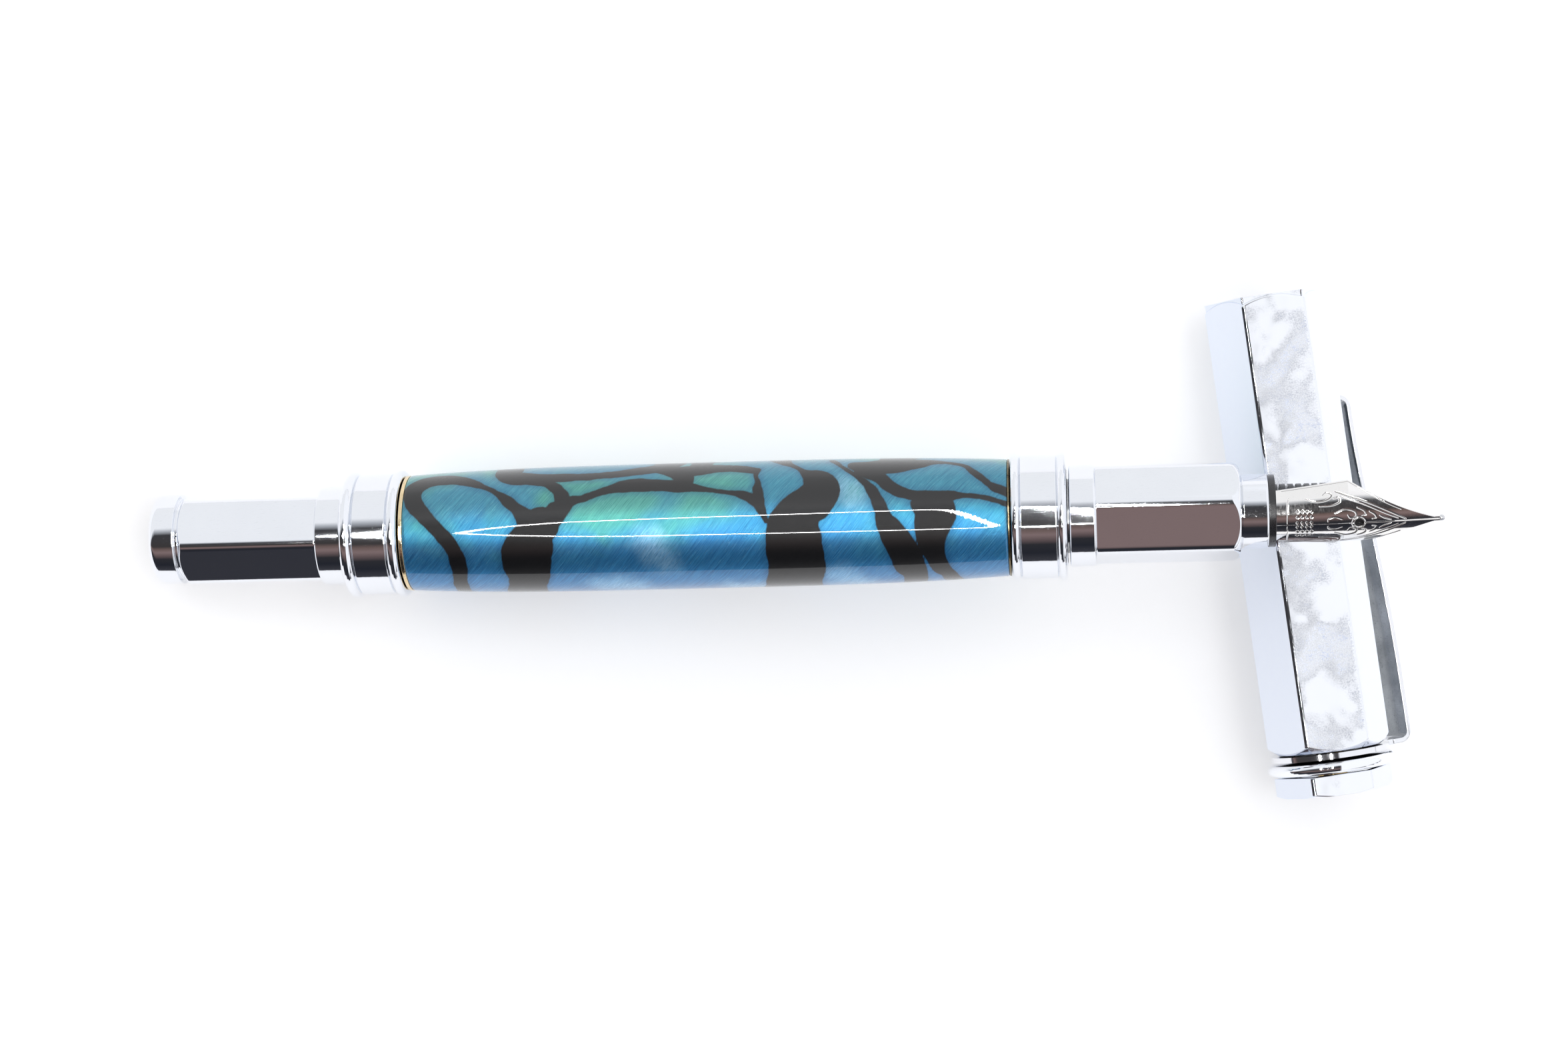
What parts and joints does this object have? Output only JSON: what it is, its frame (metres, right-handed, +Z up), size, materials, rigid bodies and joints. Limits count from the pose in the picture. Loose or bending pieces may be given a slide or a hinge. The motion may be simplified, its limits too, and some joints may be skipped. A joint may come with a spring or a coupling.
{
  "type": "fountain pen",
  "caption": "Fountain pen with swirled turquoise resin barrel, chrome hexagonal grip and post, engraved steel nib, resting on its detached hexagonal cap with clip.",
  "frame": {"origin": "on the table, under the middle of the bounding box of the pen and its cap", "axes": "+Z up from the table; +X from the pen's rear end towards its nib; +Y towards the cap's open end, square to +X"},
  "size_m": [0.1398, 0.0556, 0.0213],
  "materials": {
    "chrome": "polished chrome plate",
    "brass": "turned",
    "resin": "polished pearl resin, turquoise with black swirls",
    "black_plastic": "moulded",
    "magnet": "black coated",
    "rubber": "moulded",
    "nib_steel": "polished steel",
    "clear_plastic": "clear",
    "white_plastic": "moulded"
  },
  "bodies": {
    "cap": {"cap_shell": "chrome", "inner_cap": "black_plastic", "cap_magnet_ring": "magnet", "cap_end_nut": "brass", "clip_ring": "chrome", "finial_flange": "chrome", "finial_hex": "chrome", "finial_stud": "brass"},
    "clip": {"clip_arm": "chrome"},
    "section": {"grip_section": "chrome", "section_tenon": "brass", "nose_magnet_ring": "magnet", "nib_housing": "black_plastic", "feed": "black_plastic", "nib": "nib_steel", "nib_tipping": "nib_steel"},
    "seal": {"section_seal": "rubber"},
    "barrel": {"rear_end_cap": "chrome", "rear_magnet": "magnet", "rear_post": "chrome", "rear_coupler": "chrome", "rear_trim_ring": "brass", "barrel_tube": "brass", "resin_barrel": "resin", "front_trim_ring": "black_plastic", "front_coupler": "chrome", "threaded_insert": "brass"},
    "converter": {"converter_mouth": "black_plastic", "converter_tube": "clear_plastic", "converter_collar": "chrome", "agitator_ball": "nib_steel"},
    "piston": {"piston_seal": "rubber", "piston_rod": "white_plastic"},
    "knob": {"converter_knob": "black_plastic", "knob_nut": "brass"}
  },
  "joints": [
    {"name": "pen_lift", "type": "slide", "parent": "cap", "child": "section", "axis": [0, 0, 1], "range_m": [0, 0.08]},
    {"name": "clip_flex", "type": "hinge", "parent": "cap", "child": "clip", "pos_m": [0.06296, -0.02335, 0.00315], "axis": [-0.5, -0.0183, -0.8658], "range_deg": [0, 6], "stiffness_Nm_per_rad": 0.05, "springref_deg": -5.73},
    {"name": "barrel_turn", "type": "hinge", "parent": "section", "child": "seal", "pos_m": [0.03064, 0.0068, 0.01428], "axis": [-0.9892, 0.1139, -0.0927], "range_deg": [0, 1081]},
    {"name": "barrel_travel", "type": "slide", "parent": "seal", "child": "barrel", "axis": [-0.9892, 0.1139, -0.0927], "range_m": [0, 0.0027]},
    {"name": "converter_pull", "type": "slide", "parent": "section", "child": "converter", "axis": [-0.9892, 0.1139, -0.0927], "range_m": [0, 0.005]},
    {"name": "knob_turn", "type": "hinge", "parent": "converter", "child": "knob", "pos_m": [-0.03119, 0.01392, 0.00848], "axis": [-0.9892, 0.1139, -0.0927], "range_deg": [0, 2881]},
    {"name": "piston_travel", "type": "slide", "parent": "converter", "child": "piston", "axis": [-0.9892, 0.1139, -0.0927], "range_m": [0, 0.02]}
  ],
  "couplings": [
    {"joint": "barrel_turn", "follows": "barrel_travel", "rad_per_m": 6981.3},
    {"joint": "knob_turn", "follows": "piston_travel", "rad_per_m": 2513.3}
  ]
}
